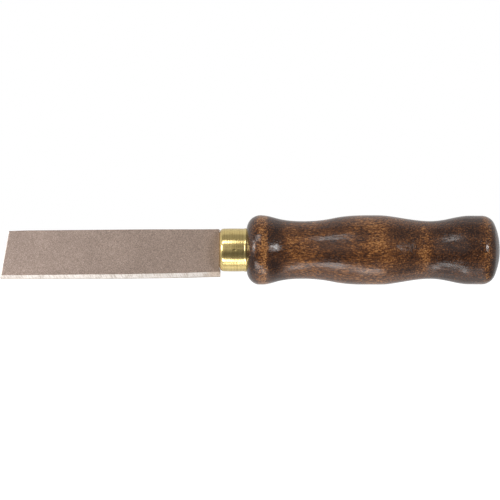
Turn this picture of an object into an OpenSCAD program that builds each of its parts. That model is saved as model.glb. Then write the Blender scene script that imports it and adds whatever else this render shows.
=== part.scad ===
// Fixed-blade hand knife: a flat blade with a slanted end and a ground edge, whose
// stick tang is bedded in a turned wooden handle behind a drawn brass ferrule.
//
// Millimetres. +X runs from the blade's tip to the handle's butt, +Z is up and the
// cutting edge points down. The knife lies on its handle's swellings at z = 0, and
// the origin is on that surface, under the middle of its length and width.

/* [Blade] */
// Length of the blade that stands out of the ferrule
blade_len = 100.9; // [80:0.1:115]
// Height of the blade from spine to cutting edge
blade_h = 22; // [18:0.5:26]
// Thickness of the blade
blade_t = 1.6; // [1.4:0.1:2.4]
// Angle that the tip drops below the handle's axis, in degrees
droop = 0.5; // [0:0.1:1.5]
// Angle of the slanted end, from square, in degrees
tip_rake = 10; // [0:1:25]
// Height of the ground bevel at the tip
bevel_tip_h = 1.7; // [1:0.1:4]
// Height of the ground bevel at the heel
bevel_heel_h = 2.4; // [1:0.1:4]
// How far the cutting edge bows out below a straight line
edge_belly = 0.3; // [0:0.1:1]
// Height of the spine above the handle's axis, at the heel
spine_rise = 9.6; // [8:0.1:12]
// How far the heel's lower corner reaches past the ferrule's front face, below it
heel_reach = 0.5; // [0.1:0.1:0.8]
// How far its upper corner does, over the ferrule's rounded rim
heel_top_reach = 0.3; // [0.1:0.1:0.6]

/* [Tang] */
// Length of the tang, from the heel to its point
tang_len = 66; // [50:1:80]
// Width of the tang at the heel
tang_root_w = 10; // [8:0.5:10]
// Width of the tang where its point starts
tang_end_w = 6; // [4:0.5:6]
// Thickness of the tang, which is ground thinner than the blade to enter its slot
tang_t = 1.4; // [1:0.1:1.4]

/* [Ferrule] */
// Length of the ferrule
ferrule_len = 12.6; // [10:0.1:16]
// Outer radius of the ferrule
ferrule_r = 9.93; // [9.5:0.01:10.5]
// Wall thickness of the drawn cup
ferrule_wall = 0.9; // [0.5:0.1:1.2]
// Radius of the rounded front rim
rim_round = 2.2; // [1.4:0.1:3]

/* [Handle] */
// Length of the handle behind the ferrule
handle_len = 116.5; // [105:0.5:125]
// Radius of the swelling behind the ferrule
nose_r = 15.9; // [15:0.05:17]
// Radius of the front and rear waists
waist_r = 13.15; // [12:0.05:14]
// Radius of the middle swelling
belly_r = 15.85; // [14.5:0.05:15.9]
// Radius of the swelling at the butt
butt_r = 15.65; // [14.5:0.05:15.9]
// Radius of the handle's rounded nose, seen from the side
nose_round = 6.4; // [5:0.1:7]
// Radius between the butt's side and its domed end
butt_round = 6.5; // [4:0.1:7]
// Spherical radius of the domed end
dome_r = 30; // [24:1:40]

/* [Hidden] */
$fn = 96;

overall_len = blade_len + ferrule_len + handle_len;
axis_z = max(nose_r, belly_r, butt_r);
heel_x = blade_len - overall_len / 2;
handle_x = heel_x + ferrule_len;

// The cutting edge is left this wide, and these are the blade's lengthwise steps.
edge_flat = 0.06;
edge_steps = 10;
rim_steps = 4;

// Clearances: the heel's corners to the ferrule's rim, the slot round the tang, the
// ferrule's rear edge to the wood, and the cup's inside to the tenon's end.
rim_gap = 0.1;
slot_gap = 0.1;
rear_gap = 0.1;
tenon_gap = 0.2;

// The ferrule's rear edge turns out in a slight lip.
lip_len = 1.2;
lip_rise = 0.1;
// Prick marks that stake the ferrule to the tenon: length, tool radius and depth.
stake_len = 1.5;
stake_r = 0.6;
stake_depth = 0.25;
stake_x = heel_x + 0.57 * ferrule_len;

tenon_r = ferrule_r - ferrule_wall;
tenon_x = heel_x + ferrule_wall + tenon_gap;
tenon_chamfer = 1.5;

// The tang narrows evenly to tang_end_w, then comes to a point over its last part.
tang_point_len = 5;
tang_overlap = 1;
// Two drills make the bore: a wide one to where the tang has narrowed, then a small
// one to past its point. Each is a little wider than the tang there.
bore_r = tang_root_w / 2 + 0.4;
bore_step_x = heel_x + tang_len / 2 + 1;
deep_bore_r = (tang_root_w + tang_end_w) / 4 + 0.2;
deep_bore_x = heel_x + tang_len + 1;
drill_point = 118;

// The swellings and waists of the handle: [distance from its front, radius, slope].
// A smooth cubic joins each to the next.
waves = [
    [nose_round, nose_r, 0],
    [0.116 * handle_len, (nose_r + waist_r) / 2, -0.28],
    [0.222 * handle_len, waist_r, 0],
    [0.340 * handle_len, (waist_r + belly_r) / 2, 0.215],
    [0.518 * handle_len, belly_r, 0],
    [0.619 * handle_len, (belly_r + waist_r) / 2, -0.16],
    [0.724 * handle_len, waist_r, 0],
    [0.805 * handle_len, (waist_r + butt_r) / 2, 0.22],
    [0.881 * handle_len, butt_r, 0],
];
wave_steps = 6;
arc_steps = 12;
dome_steps = 10;

// ---- helpers -------------------------------------------------------------

// Puts a shape that was turned about Z onto the handle's axis, starting at x.
module on_axis(x) {
    translate([x, 0, axis_z]) rotate([0, 90, 0]) children();
}

// Extrudes an outline drawn in X and height above the axis, to thickness t.
module upright(t) {
    translate([0, t / 2, axis_z]) rotate([90, 0, 0]) linear_extrude(t) children();
}

// A point at share t of the cubic that joins stations a and b.
function between(a, b, t) =
    let (h = b[0] - a[0])
    [a[0] + t * h,
     (2 * pow(t, 3) - 3 * pow(t, 2) + 1) * a[1]
     + (pow(t, 3) - 2 * pow(t, 2) + t) * h * a[2]
     + (3 * pow(t, 2) - 2 * pow(t, 3)) * b[1]
     + (pow(t, 3) - pow(t, 2)) * h * b[2]];

// Points on an arc round c, from angle a to angle b.
function arc(c, r, a, b, steps) =
    [for (i = [0:steps])
        let (t = a + (b - a) * i / steps) c + r * [cos(t), sin(t)]];

// ---- blade ---------------------------------------------------------------

// Heights above the handle's axis along the blade: u is 0 at the tip, 1 at the heel.
function drop(x) = (heel_x - x) * tan(droop);
corner_x = heel_x + heel_reach;
spine_tip_x = heel_x - blade_len + blade_h * tan(tip_rake);
edge_tip_x = heel_x - blade_len;
edge_heel_z = spine_rise - blade_h;
edge_tip_z = edge_heel_z - drop(edge_tip_x);

function belly(u) = -4 * edge_belly * u * (1 - u);
function edge_point(u) =
    [edge_tip_x + u * (corner_x - edge_tip_x),
     edge_tip_z + u * (edge_heel_z - edge_tip_z) + belly(u)];
// The top of the bevel, whose tip end lies on the slanted end.
function bevel_point(u) =
    let (x0 = edge_tip_x + bevel_tip_h * tan(tip_rake))
    [x0 + u * (corner_x - x0),
     edge_tip_z + bevel_tip_h
     + u * (edge_heel_z + bevel_heel_h - edge_tip_z - bevel_tip_h) + belly(u)];

// The heel stands on the ferrule's face, and round its corners it follows the rim at a
// distance of rim_gap, out to reach past the face. side is 1 on top and -1 below.
function rim_points(side, reach) =
    let (c = [heel_x + rim_round, side * (ferrule_r - rim_round)], r = rim_round + rim_gap)
    arc(c, r, side * acos(-rim_round / r), side * acos((reach - rim_round) / r), rim_steps);

module blade_outline() {
    top = rim_points(1, heel_top_reach);
    polygon(concat(
        [[spine_tip_x, spine_rise - drop(spine_tip_x)],
         [top[rim_steps][0] - (spine_rise - top[rim_steps][1]), spine_rise]],
        [for (i = [0:rim_steps]) top[rim_steps - i]],
        rim_points(-1, heel_reach),
        [for (i = [0:edge_steps]) bevel_point(1 - i / edge_steps)]));
}

// The tang starts a little way inside the blade, so the two are one solid.
module tang() {
    x0 = heel_x - tang_overlap;
    x1 = heel_x + tang_len - tang_point_len;
    upright(tang_t) polygon([
        [x0, tang_root_w / 2], [heel_x, tang_root_w / 2], [x1, tang_end_w / 2],
        [heel_x + tang_len, 0],
        [x1, -tang_end_w / 2], [heel_x, -tang_root_w / 2], [x0, -tang_root_w / 2]]);
}

// The wedge below the bevel's top, narrowing from the blade's thickness to the edge.
module ground_edge() {
    ring = [for (i = [0:edge_steps])
        let (b = bevel_point(i / edge_steps), e = edge_point(i / edge_steps))
        [[b[0], -blade_t / 2, b[1]], [b[0], blade_t / 2, b[1]],
         [e[0], edge_flat / 2, e[1]], [e[0], -edge_flat / 2, e[1]]]];
    sides = [for (i = [0:edge_steps - 1], k = [0:3])
        let (a = 4 * i + k, b = 4 * i + (k + 1) % 4)
        each [[a, b + 4, a + 4], [a, b, b + 4]]];
    last = 4 * edge_steps;
    ends = [[0, 2, 1], [0, 3, 2],
            [last, last + 1, last + 2], [last, last + 2, last + 3]];
    translate([0, 0, axis_z])
        polyhedron(points = [for (r = ring) each r], faces = concat(sides, ends));
}

module blade() {
    color([0.62, 0.55, 0.51]) {
        upright(blade_t) blade_outline();
        ground_edge();
        tang();
    }
}

// ---- ferrule -------------------------------------------------------------

// Half section of a cup of radius r, closed at height 0, with a rounded rim.
module cup_section(r, round, h) {
    square([r - round, h]);
    translate([0, round]) square([r, h - round]);
    translate([r - round, round]) circle(round);
}

module ferrule() {
    body_len = ferrule_len - rear_gap;
    color([0.80, 0.66, 0.33]) difference() {
        on_axis(heel_x) rotate_extrude() difference() {
            union() {
                cup_section(ferrule_r, rim_round, body_len);
                translate([0, body_len - lip_len])
                    square([ferrule_r + lip_rise, lip_len]);
            }
            translate([0, ferrule_wall])
                cup_section(tenon_r, rim_round - ferrule_wall, ferrule_len);
        }
        // The slot that the tang passes through.
        translate([heel_x, 0, axis_z])
            cube([4 * ferrule_wall, tang_t + 2 * slot_gap,
                  tang_root_w + 2 * slot_gap], center = true);
        for (side = [-1, 1])
            translate([stake_x - stake_len / 2,
                       side * (ferrule_r - stake_depth + stake_r), axis_z])
                rotate([0, 90, 0]) cylinder(r = stake_r, h = stake_len);
    }
}

// ---- handle --------------------------------------------------------------

// The drilled bore, which the bedding fills round the tang.
module tang_bore() {
    tip_h = deep_bore_r / tan(drill_point / 2);
    on_axis(tenon_x) cylinder(r = bore_r, h = bore_step_x - tenon_x);
    on_axis(tenon_x) cylinder(r = deep_bore_r, h = deep_bore_x - tenon_x);
    on_axis(deep_bore_x) cylinder(r1 = deep_bore_r, r2 = 0, h = tip_h);
}

// Half section of the turned handle, as radius and distance from its front.
module handle_section() {
    tenon_len = handle_x - tenon_x;
    dome_s = handle_len - dome_r;
    // The butt's round touches the side at butt_r and the dome from inside.
    round_c_r = butt_r - butt_round;
    round_c_s = dome_s + sqrt(pow(dome_r - butt_round, 2) - pow(round_c_r, 2));
    touch = atan2(round_c_r, round_c_s - dome_s);
    nose = arc([nose_round, nose_r - nose_round], nose_round, 180, 90, arc_steps);
    swell = [for (i = [0:len(waves) - 2], k = [1:wave_steps])
        between(waves[i], waves[i + 1], k / wave_steps)];
    butt = arc([round_c_s, round_c_r], butt_round, 90, touch, arc_steps);
    dome = [for (i = [1:dome_steps])
        let (t = touch * (1 - i / dome_steps)) [dome_s, 0] + dome_r * [cos(t), sin(t)]];
    tenon = [[-tenon_len, 0], [-tenon_len, tenon_r - tenon_chamfer],
             [tenon_chamfer - tenon_len, tenon_r], [0, tenon_r]];
    polygon([for (p = concat(tenon, nose, swell, butt, dome)) [p[1], p[0]]]);
}

module handle() {
    color([0.38, 0.22, 0.12]) difference() {
        on_axis(handle_x) rotate_extrude() handle_section();
        tang_bore();
    }
}

// ---- tang bedding --------------------------------------------------------

// Cured resin that fills the bore round the tang.
module tang_bedding() {
    color([0.72, 0.62, 0.40]) difference() {
        tang_bore();
        tang();
    }
}

blade();
ferrule();
handle();
tang_bedding();
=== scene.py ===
import math

import bpy
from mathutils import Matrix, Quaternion, Vector, noise


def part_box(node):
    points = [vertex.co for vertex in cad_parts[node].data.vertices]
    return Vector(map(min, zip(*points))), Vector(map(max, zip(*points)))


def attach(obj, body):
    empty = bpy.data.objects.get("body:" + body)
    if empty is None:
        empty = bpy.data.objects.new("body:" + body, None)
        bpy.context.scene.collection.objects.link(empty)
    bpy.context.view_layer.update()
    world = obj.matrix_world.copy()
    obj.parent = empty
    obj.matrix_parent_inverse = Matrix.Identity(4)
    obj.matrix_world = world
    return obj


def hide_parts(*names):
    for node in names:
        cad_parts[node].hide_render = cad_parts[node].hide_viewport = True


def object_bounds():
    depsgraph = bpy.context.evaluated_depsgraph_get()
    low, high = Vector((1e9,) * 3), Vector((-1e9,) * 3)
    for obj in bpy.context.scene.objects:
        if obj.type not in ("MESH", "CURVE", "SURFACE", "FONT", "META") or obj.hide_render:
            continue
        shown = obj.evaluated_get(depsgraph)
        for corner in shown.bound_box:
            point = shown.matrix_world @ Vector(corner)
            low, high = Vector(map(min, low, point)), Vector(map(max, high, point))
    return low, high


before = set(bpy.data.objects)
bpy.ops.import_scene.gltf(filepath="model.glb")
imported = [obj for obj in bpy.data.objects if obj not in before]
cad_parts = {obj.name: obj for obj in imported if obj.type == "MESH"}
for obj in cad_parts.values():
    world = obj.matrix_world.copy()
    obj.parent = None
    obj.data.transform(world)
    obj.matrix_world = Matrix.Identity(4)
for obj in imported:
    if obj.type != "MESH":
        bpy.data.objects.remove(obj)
cad_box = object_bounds()

MM = 0.001


def node_box(node):
    """A node's lowest and highest corners in millimetres."""
    lo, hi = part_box(node)
    return lo / MM, hi / MM


BLADE_LO, BLADE_HI = node_box("blade")
FERRULE_LO, FERRULE_HI = node_box("ferrule")
HANDLE_LO, HANDLE_HI = node_box("handle")

AXIS_Z = (HANDLE_LO.z + HANDLE_HI.z) / 2
TIP_X = BLADE_LO.x
TANG_END_X = BLADE_HI.x
FERRULE_X = FERRULE_LO.x
# The blade's heel stands against the ferrule's front face.
HEEL_X = FERRULE_X
FERRULE_END_X = FERRULE_HI.x
TENON_X = HANDLE_LO.x
# The handle's shoulder clears the ferrule by a hair.
SHOULDER_GAP = 0.1
SHOULDER_X = FERRULE_END_X + SHOULDER_GAP
BUTT_X = HANDLE_HI.x

# The heel's corners follow the ferrule's rounded front rim, so both pieces use these.
FERRULE_R = 9.93
RIM_ROUND = 2.2


# ---- helpers -------------------------------------------------------------

def clamp(v, lo=0.0, hi=1.0):
    return max(lo, min(hi, v))


def smooth(a, b, v):
    """An eased step from 0 at a to 1 at b."""
    t = clamp((v - a) / (b - a))
    return t * t * (3 - 2 * t)


def bump_at(v, centre, width):
    """A soft bell, 1 at the centre and near 0 past twice the width."""
    return math.exp(-(((v - centre) / width) ** 2))


def along(table, v):
    """Straight lines between the (place, value) pairs of a table."""
    for (a, va), (b, vb) in zip(table, table[1:]):
        if v <= b:
            return va + (vb - va) * clamp((v - a) / (b - a))
    return table[-1][1]


def arc(cx, cr, radius, start, end, steps):
    """Points (x, r) on an arc, from angle start to angle end in degrees."""
    return [
        (cx + radius * math.cos(math.radians(start + (end - start) * i / steps)),
         cr + radius * math.sin(math.radians(start + (end - start) * i / steps)))
        for i in range(steps + 1)
    ]


def make_piece(name, verts, faces, materials, node, flat=()):
    """A mesh in the row frame, from millimetres, that rides on the root body."""
    mesh = bpy.data.meshes.new(name)
    mesh.from_pydata([Vector(v) * MM for v in verts], [], faces)
    mesh.update()
    for material in materials:
        mesh.materials.append(material)
    piece = bpy.data.objects.new(name, mesh)
    bpy.context.scene.collection.objects.link(piece)
    for face in mesh.polygons:
        face.use_smooth = face.index not in flat
    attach(piece, "root")
    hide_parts(node)
    return piece


def lathe(profile, segments, offset=None):
    """Turns (x, r) points round the handle's axis. An end on the axis closes to a point,
    and with both ends off it the profile is a closed loop. Returns verts and faces."""
    verts, rings = [], []
    for x, r in profile:
        if r < 1e-6:
            rings.append([len(verts)])
            verts.append((x, 0.0, AXIS_Z))
            continue
        ring = []
        for k in range(segments):
            a = 2 * math.pi * k / segments
            rr = r + (offset(x, math.degrees(a), r) if offset else 0.0)
            ring.append(len(verts))
            verts.append((x, -rr * math.cos(a), AXIS_Z + rr * math.sin(a)))
        rings.append(ring)
    closed = len(rings[0]) > 1 and len(rings[-1]) > 1
    pairs = list(zip(rings, rings[1:])) + ([(rings[-1], rings[0])] if closed else [])
    faces = []
    for a, b in pairs:
        for k in range(segments):
            n = (k + 1) % segments
            if len(a) == 1:
                faces.append((a[0], b[k], b[n]))
            elif len(b) == 1:
                faces.append((a[k], b[0], a[n]))
            else:
                faces.append((a[k], b[k], b[n], a[n]))
    return verts, faces


# ---- node materials ------------------------------------------------------

class Graph:
    """Short names for the shader nodes that the materials are built from."""

    def __init__(self, tree):
        self.tree = tree

    def node(self, kind, inputs=None, **settings):
        made = self.tree.nodes.new(kind)
        for key, value in settings.items():
            setattr(made, key, value)
        for key, value in (inputs or {}).items():
            if isinstance(value, bpy.types.NodeSocket):
                self.tree.links.new(value, made.inputs[key])
            else:
                made.inputs[key].default_value = value
        return made

    def math(self, op, a, b=0.0, c=0.0):
        return self.node("ShaderNodeMath", {0: a, 1: b, 2: c}, operation=op).outputs[0]

    def add(self, a, b):
        return self.math("ADD", a, b)

    def mul(self, a, b):
        return self.math("MULTIPLY", a, b)

    def remap(self, value, a, b, lo=0.0, hi=1.0):
        """Smoothly maps a..b to lo..hi."""
        made = self.node("ShaderNodeMapRange", {0: value, 1: a, 2: b, 3: lo, 4: hi},
                         interpolation_type="SMOOTHSTEP")
        return made.outputs[0]

    def millimetres(self):
        """Places on the object in millimetres, which every noise here is scaled by."""
        where = self.node("ShaderNodeTexCoord").outputs["Object"]
        return self.scaled(where, (1 / MM,) * 3)

    def scaled(self, vector, scale, turn=(0, 0, 0)):
        return self.node("ShaderNodeMapping",
                         {"Vector": vector, "Scale": scale, "Rotation": turn}).outputs[0]

    def noise(self, vector, scale=1.0, detail=2.0, rough=0.5, warp=0.0):
        made = self.node("ShaderNodeTexNoise",
                         {"Vector": vector, "Scale": scale, "Detail": detail,
                          "Roughness": rough, "Distortion": warp})
        return made.outputs[0]

    def mix(self, factor, a, b, how="MIX"):
        made = self.node("ShaderNodeMix", data_type="RGBA", blend_type=how)
        for index, value in ((0, factor), (6, a), (7, b)):
            if isinstance(value, bpy.types.NodeSocket):
                self.tree.links.new(value, made.inputs[index])
            elif index == 0:
                made.inputs[index].default_value = value
            else:
                made.inputs[index].default_value = (*value, 1.0)
        return made.outputs[2]

    def ramp(self, factor, stops):
        made = self.node("ShaderNodeValToRGB", {"Fac": factor})
        band = made.color_ramp
        while len(band.elements) < len(stops):
            band.elements.new(0.5)
        for element, (place, colour) in zip(band.elements, stops):
            element.position = place
            element.color = (*colour, 1.0)
        return made.outputs[0]

    def bump(self, height, strength, distance, under=None):
        inputs = {"Height": height, "Strength": strength, "Distance": distance}
        if under is not None:
            inputs["Normal"] = under
        return self.node("ShaderNodeBump", inputs).outputs[0]


def new_material(name):
    """An empty material, a Graph of its nodes, and its main shader."""
    material = bpy.data.materials.new(name)
    material.use_nodes = True
    graph = Graph(material.node_tree)
    return material, graph, material.node_tree.nodes["Principled BSDF"]


def join(graph, shader, **links):
    """Links sockets to the shader's inputs, named with _ for each space."""
    for key, socket in links.items():
        graph.tree.links.new(socket, shader.inputs[key.replace("_", " ")])


# The wood's growth rings: how far the pith lies behind and below the handle's axis,
# how far the rings wander, and their spacing.
PITH_BACK, PITH_BELOW = 34.5, 28.9
RING_WANDER, RING_PITCH = 3.4, 1.15


def blasted_alloy():
    """Sand-blasted nickel-copper: matt, pinkish grey, covered in fine pits."""
    material, g, shader = new_material("blasted_alloy")
    mm = g.millimetres()
    grit = g.noise(mm, 3.2, 2.0, 0.75)
    fine = g.noise(mm, 7.0, 1.0)
    cloud = g.noise(mm, 0.09, 3.0, 0.6)
    tone = g.add(grit, g.add(g.mul(fine, 0.2), g.mul(cloud, 0.12)))
    colour = g.ramp(tone, [(0.40, (0.203, 0.155, 0.128)), (0.65, (0.363, 0.276, 0.233)),
                           (0.90, (0.665, 0.523, 0.450))])
    # Painted shade: darker towards the heel, away from the lamps on the left, and a little
    # darker and warmer next to the ferrule, which shades the heel.
    part = g.node("ShaderNodeSeparateXYZ", {0: mm}).outputs
    colour = g.mix(g.remap(part[0], TIP_X - 40, HEEL_X + 5), colour,
                   (0.80, 0.785, 0.755), "MULTIPLY")
    colour = g.mix(g.remap(part[0], HEEL_X - 9, HEEL_X + 1), colour,
                   (1.0, 0.98, 0.96), "MULTIPLY")
    pits = g.add(grit, g.mul(fine, 0.5))
    join(g, shader, Base_Color=colour, Normal=g.bump(pits, 0.5, 0.05 * MM),
         Roughness=g.remap(cloud, 0.3, 0.7, 0.52, 0.62))
    shader.inputs["Metallic"].default_value = 0.4
    return material


def ground_alloy():
    """The bright ground edge, with grinding marks slanting down towards the heel."""
    material, g, shader = new_material("ground_alloy")
    mm = g.millimetres()
    slanted = g.scaled(mm, (1, 1, 1), (0, math.radians(28), 0))
    marks = g.noise(g.scaled(slanted, (2.6, 0.4, 0.35)), 1.0, 3.0, 0.7)
    patches = g.noise(mm, 0.22, 2.0)
    tone = g.add(g.mul(marks, 0.8), g.mul(patches, 0.3))
    colour = g.ramp(tone, [(0.38, (0.50, 0.41, 0.345)), (0.55, (0.755, 0.695, 0.645)),
                           (0.75, (0.88, 0.83, 0.785))])
    # Painted shade: darker towards the tip, to temper the lamp light that falls brightest
    # there, and darker and warmer next to the ferrule, which shades the heel. It also has a
    # dark line along the very edge.
    part = g.node("ShaderNodeSeparateXYZ", {0: mm}).outputs
    colour = g.mix(g.remap(part[0], HEEL_X - 45, TIP_X - 15), colour,
                   (0.69, 0.68, 0.68), "MULTIPLY")
    colour = g.mix(g.remap(part[0], HEEL_X - 7, HEEL_X - 3), colour,
                   (0.90, 0.82, 0.75), "MULTIPLY")
    edge = g.node("ShaderNodeAttribute", attribute_name="edge").outputs["Fac"]
    colour = g.mix(g.remap(edge, 0.0, 0.75, 0.0, 0.9), colour, (0.36, 0.29, 0.23))
    rough = g.add(g.remap(marks, 0.3, 0.7, 0.05, -0.05),
                  g.remap(part[0], TIP_X + 20, HEEL_X, 0.42, 0.58))
    join(g, shader, Base_Color=colour, Normal=g.bump(marks, 0.5, 0.03 * MM),
         Roughness=rough)
    shader.inputs["Metallic"].default_value = 0.7
    return material


def turned_brass():
    """Polished brass with turning lines round it and a little tarnish."""
    material, g, shader = new_material("turned_brass")
    mm = g.millimetres()
    lines = g.noise(g.scaled(mm, (1.6, 0.04, 0.04)), 1.0, 2.0, 0.6)
    scratches = g.noise(g.scaled(mm, (9.0, 0.12, 0.12)), 1.0, 3.0, 0.7)
    haze = g.noise(mm, 0.55, 3.0, 0.6)
    spots = g.noise(mm, 2.4, 2.0)
    tarnish = g.remap(g.add(g.mul(haze, 0.7), g.mul(spots, 0.3)), 0.48, 0.68, 0.0, 0.45)
    colour = g.mix(tarnish, (0.89, 0.695, 0.295), (0.62, 0.46, 0.18))
    worn = g.add(g.mul(lines, 0.6), g.mul(scratches, 0.5))
    colour = g.mix(g.remap(worn, 0.45, 0.75), colour, (0.76, 0.72, 0.66), "MULTIPLY")
    rough = g.add(g.remap(haze, 0.35, 0.7, 0.11, 0.18), g.mul(scratches, 0.08))
    turned = g.bump(lines, 1.0, 0.03 * MM)
    join(g, shader, Base_Color=colour, Roughness=rough,
         Normal=g.bump(scratches, 1.0, 0.008 * MM, turned))
    shader.inputs["Metallic"].default_value = 1.0
    return material


def stained_wood():
    """Dark stained hardwood under gloss lacquer. The mesh says how pale the stain is."""
    material, g, shader = new_material("stained_wood")
    mm = g.millimetres()
    level = g.node("ShaderNodeAttribute", attribute_name="stain").outputs["Fac"]
    part = g.node("ShaderNodeSeparateXYZ", {0: mm}).outputs

    fleck = g.noise(g.scaled(mm, (0.6, 1.8, 1.8)), 1.0, 3.0, 0.75, 0.3)
    speck = g.noise(g.scaled(mm, (1.25, 1.5, 1.5)), 1.0, 3.0, 0.75)
    mottle = g.noise(g.scaled(mm, (0.16, 0.32, 0.32)), 1.0, 3.0, 0.6)

    across = g.math("SUBTRACT", part[1], PITH_BACK)
    up = g.math("SUBTRACT", part[2], AXIS_Z - PITH_BELOW)
    pith = g.math("SQRT", g.add(g.mul(across, across), g.mul(up, up)))
    wander = g.noise(g.scaled(mm, (0.05, 0.14, 0.14)), 1.0, 2.0)
    reach = g.add(pith, g.mul(wander, RING_WANDER))
    ring = g.math("SINE", g.mul(reach, 2 * math.pi / RING_PITCH))
    ring_line = g.remap(ring, 0.45, 1.0)

    # Flecks are long where the wood is cut along the grain and round on end grain,
    # and they stand out most where the stain is pale.
    cut = g.node("ShaderNodeAttribute", attribute_name="end_grain").outputs["Fac"]
    long_part = g.mul(g.math("SUBTRACT", fleck, 0.5), g.math("SUBTRACT", 1.0, cut))
    round_part = g.mul(g.math("SUBTRACT", speck, 0.5), cut)
    depth = g.remap(level, 0.15, 0.75, 2.6, 4.8)
    tone = g.math("MULTIPLY_ADD", g.add(long_part, round_part), depth, level)
    tone = g.add(tone, g.mul(g.math("SUBTRACT", mottle, 0.5), 0.6))
    tone = g.add(tone, g.mul(ring_line, -0.10))
    colour = g.ramp(tone, [(0.0, (0.024, 0.009, 0.005)), (0.28, (0.070, 0.026, 0.010)),
                           (0.52, (0.136, 0.050, 0.0155)), (0.78, (0.285, 0.109, 0.031)),
                           (1.0, (0.46, 0.216, 0.071))])
    pores = g.noise(g.scaled(mm, (0.8, 3.6, 3.6)), 1.0, 1.0)
    pore = g.remap(pores, 0.60, 0.70)
    colour = g.mix(g.mul(pore, 0.6), colour, (0.03, 0.012, 0.007))
    pale = g.remap(speck, 0.58, 0.74, 0.0, 0.4)
    colour = g.mix(g.mul(pale, cut), colour, (0.30, 0.14, 0.05))

    # The lacquer follows long ridges in the grain, and the finer flecks a little.
    ridges = g.noise(g.scaled(mm, (0.10, 0.65, 0.65)), 1.0, 3.0, 0.6)
    skin = g.add(g.mul(speck, 0.5), g.add(g.mul(fleck, 0.5), g.mul(pore, -0.5)))
    wavy = g.bump(ridges, 1.0, 0.16 * MM)
    join(g, shader, Base_Color=colour, Normal=g.bump(skin, 0.5, 0.06 * MM),
         Coat_Normal=g.bump(skin, 1.0, 0.034 * MM, wavy))
    shader.inputs["Roughness"].default_value = 0.6
    shader.inputs["Specular IOR Level"].default_value = 0.0
    shader.inputs["Coat Weight"].default_value = 1.0
    shader.inputs["Coat Roughness"].default_value = 0.125
    shader.inputs["Coat IOR"].default_value = 1.5
    return material


def cured_resin():
    """The bedding round the tang: cloudy amber resin with small bubbles."""
    material, g, shader = new_material("cured_resin")
    mm = g.millimetres()
    cloud = g.noise(mm, 0.25, 3.0)
    bubbles = g.remap(g.noise(mm, 2.2, 1.0), 0.6, 0.7)
    colour = g.ramp(cloud, [(0.3, (0.40, 0.28, 0.12)), (0.7, (0.58, 0.44, 0.22))])
    join(g, shader, Base_Color=g.mix(g.mul(bubbles, 0.4), colour, (0.75, 0.65, 0.45)),
         Normal=g.bump(bubbles, 0.3, 0.1 * MM))
    shader.inputs["Roughness"].default_value = 0.45
    return material


# ---- blade ---------------------------------------------------------------

BLADE_T = BLADE_HI.y - BLADE_LO.y
BLADE_H = 22.0
SPINE_Z = AXIS_Z + 9.6
EDGE_HEEL_Z = SPINE_Z - BLADE_H
DROOP = math.tan(math.radians(0.5))
RAKE = math.tan(math.radians(10))
EDGE_TIP_Z = EDGE_HEEL_Z - (HEEL_X - TIP_X) * DROOP
BEVEL_TIP, BEVEL_HEEL = 1.7, 2.4
# How far the spine bows up, the edge bellies down, and the edge sags past its middle.
BOW, BELLY, SAG = 0.2, 0.3, 0.14
# The small bevel that takes the sharpness off the plate's other edges.
ARRIS = 0.14
# How unevenly the ground bevel's top line runs, slowly and quickly.
BEVEL_WANDER, BEVEL_RIPPLE = 0.07, 0.03
# The upper tip corner is rounded off through two points, given from the sharp corner.
ROUND_LOW, ROUND_HIGH = (-0.07, -0.4), (0.25, -0.04)
# Half the thickness left at the cutting edge, and the height of the dark line on it.
EDGE_HALF = 0.03
EDGE_LINE = 0.4
# How far the heel's corners reach past the ferrule's face, and clear of its rim.
EDGE_REACH, TOP_REACH, RIM_GAP = 0.5, 0.3, 0.1
CORNER_X = HEEL_X + EDGE_REACH
# The spine's even steps stop this far short of the heel.
SPINE_SHORT = 0.5
EDGE_STEPS, SPINE_STEPS, RIM_STEPS = 96, 40, 5
# The tang: half its thickness, half its height at its root and where its point
# begins, and the point's length.
TANG_HALF, TANG_ROOT, TANG_END = 0.7, 5.0, 3.0
TANG_POINT = 5


def rim_points(side, reach):
    """The heel's corner, which keeps clear of the ferrule's rounded rim: from the
    ferrule's face to a reach past it, above the axis (side 1) or below it (-1)."""
    r = RIM_ROUND + RIM_GAP
    start = math.degrees(math.acos(-RIM_ROUND / r))
    end = math.degrees(math.acos((reach - RIM_ROUND) / r))
    return arc(HEEL_X + RIM_ROUND, side * (FERRULE_R - RIM_ROUND), r,
               side * start, side * end, RIM_STEPS)


def build_tang():
    """The tang, from the heel to its point, as a closed solid against the heel."""
    taper_x = TANG_END_X - TANG_POINT
    outline = [(HEEL_X, TANG_ROOT), (taper_x, TANG_END), (TANG_END_X, 0.0),
               (taper_x, -TANG_END), (HEEL_X, -TANG_ROOT)]
    verts = [(x, y, AXIS_Z + h) for y in (-TANG_HALF, TANG_HALF) for x, h in outline]
    faces = [(4, 3, 2, 1, 0), (5, 6, 7, 8, 9)]
    faces += [(i, (i + 1) % 5, (i + 1) % 5 + 5, i + 5) for i in range(5)]
    return verts, faces


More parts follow.
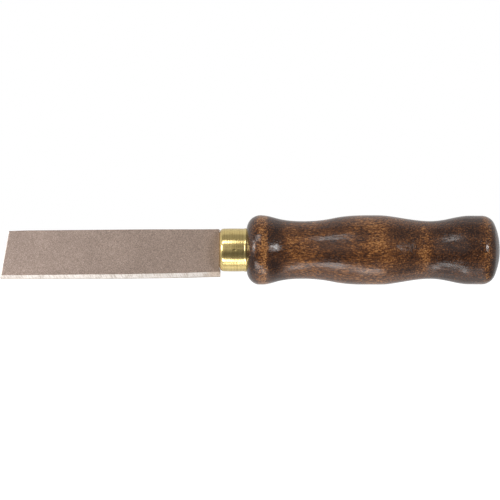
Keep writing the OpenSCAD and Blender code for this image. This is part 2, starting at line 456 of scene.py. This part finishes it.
def build_blade():
    """A plate whose outline is inset on both flats: by a small arris at the spine, tip
    and heel, and by the whole ground bevel along the bottom."""
    half, arris_half = BLADE_T / 2, BLADE_T / 2 - ARRIS
    tip_spine_x = TIP_X + BLADE_H * RAKE
    rim, inset, rim_half = [], [], []

    def point(x, z, inset_x, inset_z, thick):
        rim.append((x, z))
        inset.append((x + inset_x, z + inset_z))
        rim_half.append(thick)

    # Along the spine from tip to heel, down the heel, and back along the edge. The
    # spine is rounded off a little at the tip, and bows up slightly.
    drop = (HEEL_X - tip_spine_x) * DROOP
    point(tip_spine_x + ROUND_LOW[0], SPINE_Z - drop + ROUND_LOW[1], ARRIS * 2, -0.02,
          arris_half)
    point(tip_spine_x + ROUND_HIGH[0], SPINE_Z - drop + ROUND_HIGH[1], ARRIS, -ARRIS,
          arris_half)
    for i in range(1, SPINE_STEPS):
        t = i / SPINE_STEPS
        bow = BOW * smooth(0.0, 0.1, t) * smooth(1.0, 0.6, t)
        point(tip_spine_x + (HEEL_X - SPINE_SHORT - tip_spine_x) * t,
              SPINE_Z - drop * (1 - t) + bow, 0, -ARRIS, arris_half)
    top = rim_points(1, TOP_REACH)
    corner_x = top[-1][0] - (SPINE_Z - AXIS_Z - top[-1][1])
    point(corner_x, SPINE_Z, -0.06, -ARRIS, arris_half)
    for x, h in reversed(top):
        point(x, AXIS_Z + h, -ARRIS, -0.03, arris_half)
    for x, h in rim_points(-1, EDGE_REACH):
        point(x, AXIS_Z + h, -ARRIS, 0.03, arris_half)
    point(CORNER_X, EDGE_HEEL_Z + BEVEL_HEEL, -ARRIS, 0.0, arris_half)
    first_edge = len(rim)
    for i in range(EDGE_STEPS + 1):
        u = 1 - i / EDGE_STEPS
        sag = SAG * smooth(0.3, 0.6, u) * smooth(0.95, 0.85, u)
        belly = -4 * BELLY * u * (1 - u) - sag
        edge_x = TIP_X + u * (CORNER_X - TIP_X)
        edge_z = EDGE_TIP_Z + u * (EDGE_HEEL_Z - EDGE_TIP_Z) + belly
        height = BEVEL_TIP + u * (BEVEL_HEEL - BEVEL_TIP)
        height += BEVEL_WANDER * noise.noise(Vector((edge_x * 0.13, 4.0, 0)))
        height += BEVEL_RIPPLE * noise.noise(Vector((edge_x * 0.7, 9.0, 0)))
        lean = height * RAKE * (1 - u)
        end = -ARRIS * smooth(0.99, 1.0, u) + ARRIS * smooth(0.01, 0.0, u)
        point(edge_x, edge_z, lean + end, height, EDGE_HALF)
    last_edge = len(rim) - 1
    point(TIP_X + BEVEL_TIP * RAKE, EDGE_TIP_Z + BEVEL_TIP, ARRIS * 2, 0.03, arris_half)

    count = len(rim)
    verts = []
    for sign in (-1, 1):
        verts += [(x, sign * half, z) for x, z in inset]
        verts += [(x, sign * t, z) for (x, z), t in zip(rim, rim_half)]
    # A line of points along the foot of the ground bevel bounds its dark edge.
    line = len(verts)
    for sign in (-1, 1):
        for i in range(first_edge, last_edge + 1):
            (x, z), (ix, iz) = rim[i], inset[i]
            share = EDGE_LINE / (iz - z)
            verts.append((x + (ix - x) * share,
                          sign * (EDGE_HALF + (half - EDGE_HALF) * share), z + EDGE_LINE))
    lined = last_edge - first_edge + 1
    front, front_rim, back, back_rim = 0, count, 2 * count, 3 * count
    # The two flats meet the bevel at its top line; each is one polygon.
    faces = [tuple(front + i for i in reversed(range(count))),
             tuple(back + i for i in range(count))]
    kinds = [0, 0]
    for i in range(count):
        n = (i + 1) % count
        ground = first_edge <= i < last_edge
        tip_end = i >= last_edge or i == 0
        if ground:
            a, b = line + i - first_edge, line + n - first_edge
            c, d = a + lined, b + lined
            faces += [(front + i, front + n, b, a), (a, b, front_rim + n, front_rim + i),
                      (back + n, back + i, c, d), (d, c, back_rim + i, back_rim + n)]
            kinds += [1] * 4
        else:
            # The faces at the bevel's two ends take in the line's end points.
            mid_n = (line,) if n == first_edge else ()
            mid_i = (line + lined - 1,) if i == last_edge else ()
            faces.append((front + i, front + n, *mid_n, front_rim + n, front_rim + i,
                          *mid_i))
            far_n = (line + lined,) if n == first_edge else ()
            far_i = (line + 2 * lined - 1,) if i == last_edge else ()
            faces.append((back + n, back + i, *far_i, back_rim + i, back_rim + n, *far_n))
            kinds += [1 if tip_end else 0] * 2
        faces.append((front_rim + i, front_rim + n, back_rim + n, back_rim + i))
        kinds.append(1 if ground else 0)
    edge = [0.0] * len(verts)
    for rim_start in (front_rim, back_rim):
        for i in range(first_edge, last_edge + 1):
            edge[rim_start + i] = 1.0
    return verts, faces, kinds, edge


blade_verts, blade_faces, blade_kinds, blade_edge = build_blade()
tang_verts, tang_faces = build_tang()
blade_faces += [tuple(len(blade_verts) + i for i in face) for face in tang_faces]
blade_verts += tang_verts
blade_kinds += [0] * len(tang_faces)
blade_edge += [0.0] * len(tang_verts)
blade = make_piece("blade_plate", blade_verts, blade_faces,
                   [blasted_alloy(), ground_alloy()], "blade",
                   flat=range(len(blade_faces)))
for face, kind in zip(blade.data.polygons, blade_kinds):
    face.material_index = kind
edge = blade.data.attributes.new("edge", "FLOAT", "POINT")
edge.data.foreach_set("value", blade_edge)


# ---- ferrule -------------------------------------------------------------

WALL = 0.9
# How far the cup's side swells in the middle of its length.
CROWN = 0.07
LIP_R, LIP_LEN = (FERRULE_HI.z - FERRULE_LO.z) / 2, 1.25
STAKE_X = FERRULE_X + 0.57 * (SHOULDER_X - FERRULE_X)
STAKE_DEPTH = 0.12
# The ring at SLOT_R is shaped into a slot that clears the tang all round.
SLOT_R, SLOT_GAP = 3.0, 0.1
SLOT_HALF_T, SLOT_HALF_H = TANG_HALF + SLOT_GAP, TANG_ROOT + SLOT_GAP
# Two more rings of the front wall, of which the inner one is on both of its faces.
INNER_RING_R, OUTER_RING_R = 5.6, 6.6
CUP_SEGMENTS, CUP_STEPS = 256, 44


def slot_and_stakes(x, angle, r):
    """Shapes the ring at SLOT_R into the tang's slot, and makes the two prick marks,
    front and back, in the outer wall."""
    if r == SLOT_R:
        a = math.radians(angle)
        return min(SLOT_HALF_T / max(abs(math.cos(a)), 1e-6),
                   SLOT_HALF_H / max(abs(math.sin(a)), 1e-6)) - r
    if r < FERRULE_R - 0.3:
        return 0.0
    side = min(abs((angle + 180) % 360 - 180), abs(angle - 180))
    across = math.radians(side) * r
    return -STAKE_DEPTH * bump_at(x, STAKE_X, 0.5) * bump_at(across, 0.0, 0.3)


def ferrule_profile():
    """The cup's section: front wall, outer side and lip, then back along the inside."""
    body = FERRULE_R - CROWN
    points = [(FERRULE_X, r) for r in (SLOT_R, INNER_RING_R, OUTER_RING_R)]
    points += arc(FERRULE_X + RIM_ROUND, body - RIM_ROUND, RIM_ROUND, 180, 90, 20)
    start, lip = FERRULE_X + RIM_ROUND, FERRULE_END_X - LIP_LEN
    points += [(start + (lip - start) * i / CUP_STEPS,
                body + CROWN * math.sin(math.pi * i / CUP_STEPS))
               for i in range(1, CUP_STEPS + 1)]
    # A shallow groove, then the rounded lip, which all but touches the wood.
    points += [(lip + 0.12, body - 0.02), (lip + 0.25, body + 0.01),
               (lip + 0.40, LIP_R - 0.05), (lip + 0.58, LIP_R - 0.01),
               (lip + 0.80, LIP_R), (lip + 1.20, LIP_R - 0.01),
               (lip + 1.29, LIP_R - 0.04), (lip + 1.33, LIP_R - 0.12)]
    inner = FERRULE_R - WALL
    points += [(FERRULE_END_X + 0.06, inner + 0.3), (FERRULE_END_X, inner)]
    points += arc(FERRULE_X + RIM_ROUND, inner - RIM_ROUND + WALL,
                  RIM_ROUND - WALL, 90, 180, 8)
    points += [(FERRULE_X + WALL, r) for r in (INNER_RING_R, SLOT_R)]
    return points


verts, faces = lathe(ferrule_profile(), CUP_SEGMENTS, slot_and_stakes)
ferrule = make_piece("ferrule_cup", verts, faces, [turned_brass()],
                     "ferrule")
SHARP_ANGLE = 60
ferrule.data.set_sharp_from_angle(angle=math.radians(SHARP_ANGLE))


# ---- handle --------------------------------------------------------------

NOSE_R, WAIST_R, BELLY_R, BUTT_R = 15.9, 13.15, 15.85, 15.65
NOSE_ROUND, BUTT_ROUND, DOME_R = 6.4, 6.5, 30.0
HANDLE_LEN = BUTT_X - SHOULDER_X
TENON_GAP, TENON_CHAMFER = 0.02, 1.5
TENON_R = FERRULE_R - WALL - TENON_GAP
# The bore is wider for its first half, and runs past the tang to a drill point.
BORE_ROOT_R, BORE_R = 5.4, 4.2
BORE_PAST, DRILL_POINT = 1, 2.5
HANDLE_SEGMENTS, WAVE_STEP = 224, 0.45
LACQUER, SANDING_WAVE, RIPPLE = 0.14, 0.06, 0.015

# [distance from the shoulder, radius, slope] of each swelling, waist and flank.
WAVES = [
    (NOSE_ROUND, NOSE_R, 0),
    (0.116 * HANDLE_LEN, (NOSE_R + WAIST_R) / 2, -0.28),
    (0.222 * HANDLE_LEN, WAIST_R, 0),
    (0.340 * HANDLE_LEN, (WAIST_R + BELLY_R) / 2, 0.215),
    (0.518 * HANDLE_LEN, BELLY_R, 0),
    (0.619 * HANDLE_LEN, (BELLY_R + WAIST_R) / 2, -0.16),
    (0.724 * HANDLE_LEN, WAIST_R, 0),
    (0.805 * HANDLE_LEN, (WAIST_R + BUTT_R) / 2, 0.22),
    (0.881 * HANDLE_LEN, BUTT_R, 0),
]


def cubic(a, b, t):
    """A point on the smooth curve from one of the WAVES to the next, at t of its length."""
    h = b[0] - a[0]
    return (a[0] + t * h,
            (2 * t**3 - 3 * t**2 + 1) * a[1] + (t**3 - 2 * t**2 + t) * h * a[2]
            + (3 * t**2 - 2 * t**3) * b[1] + (t**3 - t**2) * h * b[2])


def handle_profile():
    """The handle's section: its bore, its tenon, and its outside with a domed butt."""
    outer = arc(NOSE_ROUND, NOSE_R - NOSE_ROUND, NOSE_ROUND, 180, 90, 26)
    for a, b in zip(WAVES, WAVES[1:]):
        steps = math.ceil((b[0] - a[0]) / WAVE_STEP)
        outer += [cubic(a, b, i / steps) for i in range(1, steps + 1)]
    dome_s = HANDLE_LEN - DOME_R
    round_r = BUTT_R - BUTT_ROUND
    round_s = dome_s + math.sqrt((DOME_R - BUTT_ROUND) ** 2 - round_r**2)
    touch = math.degrees(math.atan2(round_r, round_s - dome_s))
    flat_s = WAVES[-1][0]
    outer += [(flat_s + (round_s - flat_s) * i / 12, BUTT_R) for i in range(1, 12)]
    outer += arc(round_s, round_r, BUTT_ROUND, 90, touch, 20)
    outer += arc(dome_s, 0, DOME_R, touch, 0, 24)[1:]
    outer = [(SHOULDER_X + s, r) for s, r in outer]
    outer[-1] = (BUTT_X, 0.0)
    step_x = HEEL_X + (TANG_END_X - HEEL_X) / 2 + BORE_PAST
    bore_end = TANG_END_X + BORE_PAST
    bore = [(bore_end + DRILL_POINT, 0.0), (bore_end, BORE_R), (step_x, BORE_R),
            (step_x, BORE_ROOT_R), (TENON_X, BORE_ROOT_R)]
    chamfer_x = TENON_X + TENON_CHAMFER
    tenon = [(TENON_X, TENON_R - TENON_CHAMFER), (chamfer_x, TENON_R)]
    tenon += [(chamfer_x + (SHOULDER_X - chamfer_x) * i / 6, TENON_R)
              for i in range(1, 7)]
    return bore + tenon + outer


# Small knocks in the lacquer: distance from the shoulder, angle, half length along
# the handle, half width round it, and depth.
KNOCKS = [
    (6.6, 30, 0.5, 0.45, 0.16), (6.0, 17, 0.75, 0.22, 0.10),
    (8.8, -28, 0.5, 0.35, 0.07), (7.4, -40, 0.4, 0.5, 0.06),
    (36.0, 52, 0.9, 0.3, 0.05), (63.0, -58, 0.6, 0.35, 0.05),
    (104.0, 60, 0.5, 0.4, 0.06), (109.8, -20, 0.35, 0.6, 0.07),
    (7.0, 150, 0.6, 0.4, 0.12), (57.0, 170, 0.9, 0.3, 0.06),
    (103.0, 205, 0.5, 0.5, 0.10), (8.0, 235, 0.4, 0.4, 0.08),
    (60.0, 95, 0.7, 0.3, 0.06), (106.0, 268, 0.5, 0.4, 0.07),
]


def hand_sanding(x, angle, r):
    """The lacquer's thickness, the unevenness that sanding leaves and small knocks."""
    s = x - SHOULDER_X
    # The tenon, the shoulder's foot and the very middle of the butt stay as they are.
    if s < 0.3 or r < 1.0:
        return 0.0
    a = math.radians(angle)
    where = Vector((x * 0.07, math.cos(a) * r * 0.11, math.sin(a) * r * 0.11))
    wave = LACQUER + SANDING_WAVE * noise.noise(where)
    ripple = RIPPLE * noise.noise(where * 5.0)
    dent = 0.0
    for ks, ka, length, width, depth in KNOCKS:
        if abs(s - ks) < 4 * length:
            across = math.radians((angle - ka + 180) % 360 - 180) * r
            dent -= depth * bump_at(s, ks, length) * bump_at(across, 0, width)
    return (wave + ripple + dent) * smooth(0.3, 3.0, s)


# How pale the stain is along the handle, from its shoulder: the swellings' crests are
# rubbed to a golden brown, and end grain on the flanks and the butt takes it darker.
STAIN = [
    (0.0, 0.10), (1.5, 0.20), (3.0, 0.25), (4.6, 0.42), (6.0, 0.66), (7.6, 0.80),
    (9.0, 0.76), (10.0, 0.30), (12.5, 0.20), (15.0, 0.26), (19.0, 0.48), (34.0, 0.48),
    (46.0, 0.48), (56.0, 0.60), (68.0, 0.58), (76.0, 0.50), (82.0, 0.44),
    (86.0, 0.26), (94.0, 0.18), (100.0, 0.18), (105.5, 0.26), (107.8, 0.36),
    (109.6, 0.50), (111.0, 0.60), (112.0, 0.28), (113.5, 0.20), (116.5, 0.20),
]

# Single paler or darker patches: distance from the shoulder, angle, half length,
# half width, and change.
PATCHES = [
    (14.0, 40, 4.0, 5.0, -0.12), (12.5, -28, 4.5, 4.5, -0.16),
    (3.0, -14, 2.2, 2.2, -0.16), (43.0, -8, 7.0, 4.0, -0.24),
    (6.0, -14, 1.5, 2.8, -0.36), (38.0, 17, 4.5, 3.0, -0.26),
    (59.5, 12, 4.0, 5.0, 0.12), (82.0, -10, 2.5, 5.5, 0.30),
    (2.8, -29, 2.5, 4.0, -0.26), (71.5, 35, 5.5, 9.0, -0.18),
    (42.0, 22, 4.0, 6.0, -0.15), (54.0, 22, 3.0, 7.0, -0.14),
    (8.2, 45, 1.2, 8.0, -0.14), (70.5, -45, 5.0, 5.0, -0.18),
    (40.0, 50, 6.0, 5.0, -0.14), (71.0, 38, 6.5, 3.5, -0.22),
    (81.0, 42, 2.0, 2.5, 0.25), (53.0, 42, 5.0, 3.0, 0.10),
    (61.0, 54, 3.0, 4.0, -0.22), (94.5, -12, 6.0, 4.0, -0.12),
    (70.5, -22, 4.2, 5.5, -0.24), (22.0, 5, 5.0, 6.0, 0.08),
    (112.5, -45, 2.5, 4.0, -0.2), (109.2, 60, 1.2, 5.0, 0.15),
    (65.5, 20, 2.8, 7.0, -0.16), (76.5, 40, 2.5, 6.0, -0.12),
    (75.8, -14, 2.2, 4.0, -0.24), (75.5, -45, 2.5, 5.0, -0.14),
    (38.5, -17, 5.5, 3.0, -0.22), (54.2, -10, 3.0, 2.5, -0.20),
    (59.7, -7, 2.5, 2.0, -0.22), (92.0, 25, 4.0, 4.0, -0.10),
    (30.0, 185, 9.0, 6.0, -0.12), (64.0, 150, 8.0, 5.0, 0.10),
    (75.0, 215, 7.0, 5.0, -0.18), (20.0, 130, 6.0, 5.0, 0.08),
    (50.0, 255, 8.0, 5.0, 0.08), (96.0, 170, 7.0, 6.0, 0.08),
]

# How much end grain shows at each distance from the shoulder.
END_GRAIN = [
    (0.0, 1.0), (10.0, 0.9), (18.0, 0.5), (26.0, 0.2), (38.0, 0.45), (58.0, 0.2),
    (72.0, 0.8), (84.0, 0.8), (92.0, 1.0), (116.5, 1.0),
]


def stain_level(x, y, z):
    """How pale the stain is at a place: STAIN along the handle, PATCHES and unevenness."""
    s = x - SHOULDER_X
    r = math.hypot(y, z - AXIS_Z)
    angle = math.degrees(math.atan2(z - AXIS_Z, -y))
    ragged = 1.1 * noise.noise(Vector((x * 0.2, y * 0.35, z * 0.35)))
    level = along(STAIN, s + ragged)
    for ps, pa, length, width, change in PATCHES:
        if abs(s - ps) < 2.5 * length:
            across = math.radians((angle - pa + 180) % 360 - 180) * r
            level += change * bump_at(s, ps, length) * bump_at(across, 0, width)
    level += 0.14 * noise.noise(Vector((x * 0.09, y * 0.16, z * 0.16)))
    # Fine lines run round the golden band at the butt.
    band = bump_at(s, 110.2, 1.5)
    level += band * 0.5 * noise.noise(Vector((x * 0.5, angle * 0.9, 3.0)))
    return level


verts, faces = lathe(handle_profile(), HANDLE_SEGMENTS, hand_sanding)
handle = make_piece("handle_wood", verts, faces, [stained_wood()],
                    "handle")
stain = handle.data.attributes.new("stain", "FLOAT", "POINT")
stain.data.foreach_set("value", [stain_level(*v) for v in verts])
end_grain = handle.data.attributes.new("end_grain", "FLOAT", "POINT")
end_grain.data.foreach_set("value", [along(END_GRAIN, v[0] - SHOULDER_X) for v in verts])

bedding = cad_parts["tang_bedding"]
bedding.data.materials.clear()
bedding.data.materials.append(cured_resin())


# ---- floor, light and camera ---------------------------------------------

# Half the floor's side, in metres.
FLOOR_HALF = 3.0
# The camera's distance, and the share of the picture's width that the knife fills.
CAMERA_AWAY, PICTURE_FILL = 1500.0, 0.9984
LAMP_AWAY, FAR_LAMP_AWAY = 420, 900


def build_floor():
    """A plain pale floor. It glows a little, so that it stays as pale as the backdrop,
    and it is clear from below. It neither shades nor shows in the knife."""
    far = FLOOR_HALF
    mesh = bpy.data.meshes.new("floor")
    mesh.from_pydata([(-far, -far, 0), (far, -far, 0), (far, far, 0), (-far, far, 0)],
                     [], [(0, 1, 2, 3)])
    floor = bpy.data.objects.new("floor", mesh)
    bpy.context.scene.collection.objects.link(floor)
    material = bpy.data.materials.new("pale_floor")
    material.use_nodes = True
    g = Graph(material.node_tree)
    g.tree.nodes.remove(g.tree.nodes["Principled BSDF"])
    matt = g.node("ShaderNodeBsdfDiffuse", {"Color": (0.3, 0.3, 0.3, 1)})
    glow = g.node("ShaderNodeEmission", {"Color": (1, 1, 1, 1), "Strength": 0.92})
    both = g.node("ShaderNodeAddShader", {0: matt.outputs[0], 1: glow.outputs[0]})
    clear = g.node("ShaderNodeBsdfTransparent")
    below = g.node("ShaderNodeNewGeometry").outputs["Backfacing"]
    mixed = g.node("ShaderNodeMixShader",
                   {0: below, 1: both.outputs[0], 2: clear.outputs[0]})
    out = g.tree.nodes["Material Output"]
    g.tree.links.new(mixed.outputs[0], out.inputs["Surface"])
    mesh.materials.append(material)
    floor.visible_glossy = False
    floor.visible_diffuse = False
    floor.visible_shadow = False


def build_world():
    """A white studio. Round the knife's axis it is white behind, grey overhead and
    dark at the front, where the camera stands."""
    world = bpy.data.worlds.new("studio")
    bpy.context.scene.world = world
    world.use_nodes = True
    g = Graph(world.node_tree)
    where = g.node("ShaderNodeTexCoord").outputs["Generated"]
    part = g.node("ShaderNodeSeparateXYZ", {0: where}).outputs
    toward = g.math("MULTIPLY", part[1], -1.0)
    turn = g.math("ARCTAN2", part[2], toward)
    place = g.math("MULTIPLY_ADD", turn, 1 / (2 * math.pi), 0.5)
    # Brightness at each angle above the camera's direction, in degrees.
    table = [(-180, 0.60), (-150, 0.70), (-128, 0.62), (-110, 1.0), (-102, 1.0),
             (-94, 0.60), (-66, 0.60), (-47, 0.36), (-38, 0.18), (-15, 0.12),
             (2, 0.13), (5.5, 0.15), (8.5, 0.60), (11.5, 0.18), (24, 0.22), (36, 0.36),
             (60, 0.32), (87, 0.34), (95, 0.55), (102, 0.64), (130, 0.68), (152, 0.66),
             (180, 0.60)]
    band = g.ramp(place, [(a / 360 + 0.5, (v, v, v)) for a, v in table])
    # It's paler in front on the left and low on the right, and grey at both ends.
    left = g.mul(g.remap(part[0], 0.07, -0.12), g.remap(toward, 0.45, 0.8))
    left = g.mul(left, g.remap(part[2], -0.35, 0.12))
    band = g.mix(left, band, (0.60, 0.60, 0.60))
    low_right = g.mul(g.remap(part[0], 0.2, 0.45), g.remap(part[2], -0.2, -0.55))
    band = g.mix(low_right, band, (0.26, 0.26, 0.26))
    band = g.mix(g.remap(g.math("ABSOLUTE", part[0]), 0.6, 0.92), band, (0.42, 0.42, 0.42))
    # The far left end is the palest, except low down.
    far_left = g.mul(g.remap(part[0], -0.6, -0.9), g.remap(part[2], -0.4, 0.0))
    band = g.mix(far_left, band, (0.75, 0.75, 0.75))
    seen = g.node("ShaderNodeLightPath").outputs["Is Camera Ray"]
    colour = g.mix(seen, band, (1.0, 1.0, 1.0))
    background = g.tree.nodes["Background"]
    g.tree.links.new(colour, background.inputs["Color"])
    background.inputs["Strength"].default_value = 1.0


def soft_box(name, centre, aim, width, height, radiance, roll=0.0):
    """A rectangular lamp of even brightness that the camera doesn't see. Its width
    and height are in millimetres, and roll turns it round its own axis in degrees."""
    data = bpy.data.lights.new(name, "AREA")
    data.shape = "RECTANGLE"
    data.size, data.size_y = width * MM, height * MM
    data.energy = radiance * math.pi * data.size * data.size_y
    lamp = bpy.data.objects.new(name, data)
    bpy.context.scene.collection.objects.link(lamp)
    lamp.location = Vector(centre) * MM
    direction = (Vector(aim) - Vector(centre)).normalized()
    lamp.rotation_mode = "QUATERNION"
    lamp.rotation_quaternion = (direction.to_track_quat("-Z", "Y")
                                @ Quaternion((0, 0, 1), math.radians(roll)))
    lamp.visible_camera = False


def around(x, angle, distance):
    """A place at an angle round the axis and a distance from it."""
    a = math.radians(angle)
    return (x, -distance * math.cos(a), AXIS_Z + distance * math.sin(a))


def build_camera():
    """It looks squarely at the knife's side, level with the axis, and the knife all
    but fills the picture's width."""
    span = (cad_box[1].x - cad_box[0].x) / MM
    data = bpy.data.cameras.new("camera")
    data.sensor_width = 36.0
    data.lens = data.sensor_width * CAMERA_AWAY * PICTURE_FILL / span
    data.clip_start, data.clip_end = 0.05, 20.0
    camera = bpy.data.objects.new("camera", data)
    bpy.context.scene.collection.objects.link(camera)
    camera.location = Vector((0, -CAMERA_AWAY, AXIS_Z)) * MM
    camera.rotation_euler = (math.radians(90), 0, 0)
    bpy.context.scene.camera = camera


# Lamps that face the knife's axis squarely: place along it, angle round it, length
# along it, width round it, radiance and roll.
LAMPS = [
    ("upper_box", -195, 43.5, 330, 98, 4.5, 0.0),
    ("upper_mid_box", -10, 43.5, 40, 90, 1.6, 0.0),
    ("lower_box", -202, -58.5, 324, 112, 6.0, 2.0),
    ("lower_mid_box", 4, -59.0, 84, 98, 2.6, 0.0),
    ("low_fill_box", 50, -73.0, 64, 96, 3.3, 0.0),
    ("under_box", -210, -79, 420, 30, 2.6, 0.0),
    ("under_right_box", 85, -78, 90, 190, 1.3, 0.0),
]

build_floor()
build_world()
for name, x, angle, length, width, radiance, roll in LAMPS:
    soft_box(name, around(x, angle, LAMP_AWAY), (x, 0, AXIS_Z), length, width,
             radiance, roll)
# Two more light the flanks that face the knife's ends.
soft_box("right_box", around(645, 10.5, FAR_LAMP_AWAY), (30, 0, AXIS_Z), 260, 210, 17.5)
soft_box("left_box", (-372, -232, AXIS_Z + 74), (0, 0, AXIS_Z), 210, 150, 6.6)
build_camera()

settings = bpy.context.scene.view_settings
settings.view_transform = "Standard"
settings.look = "None"
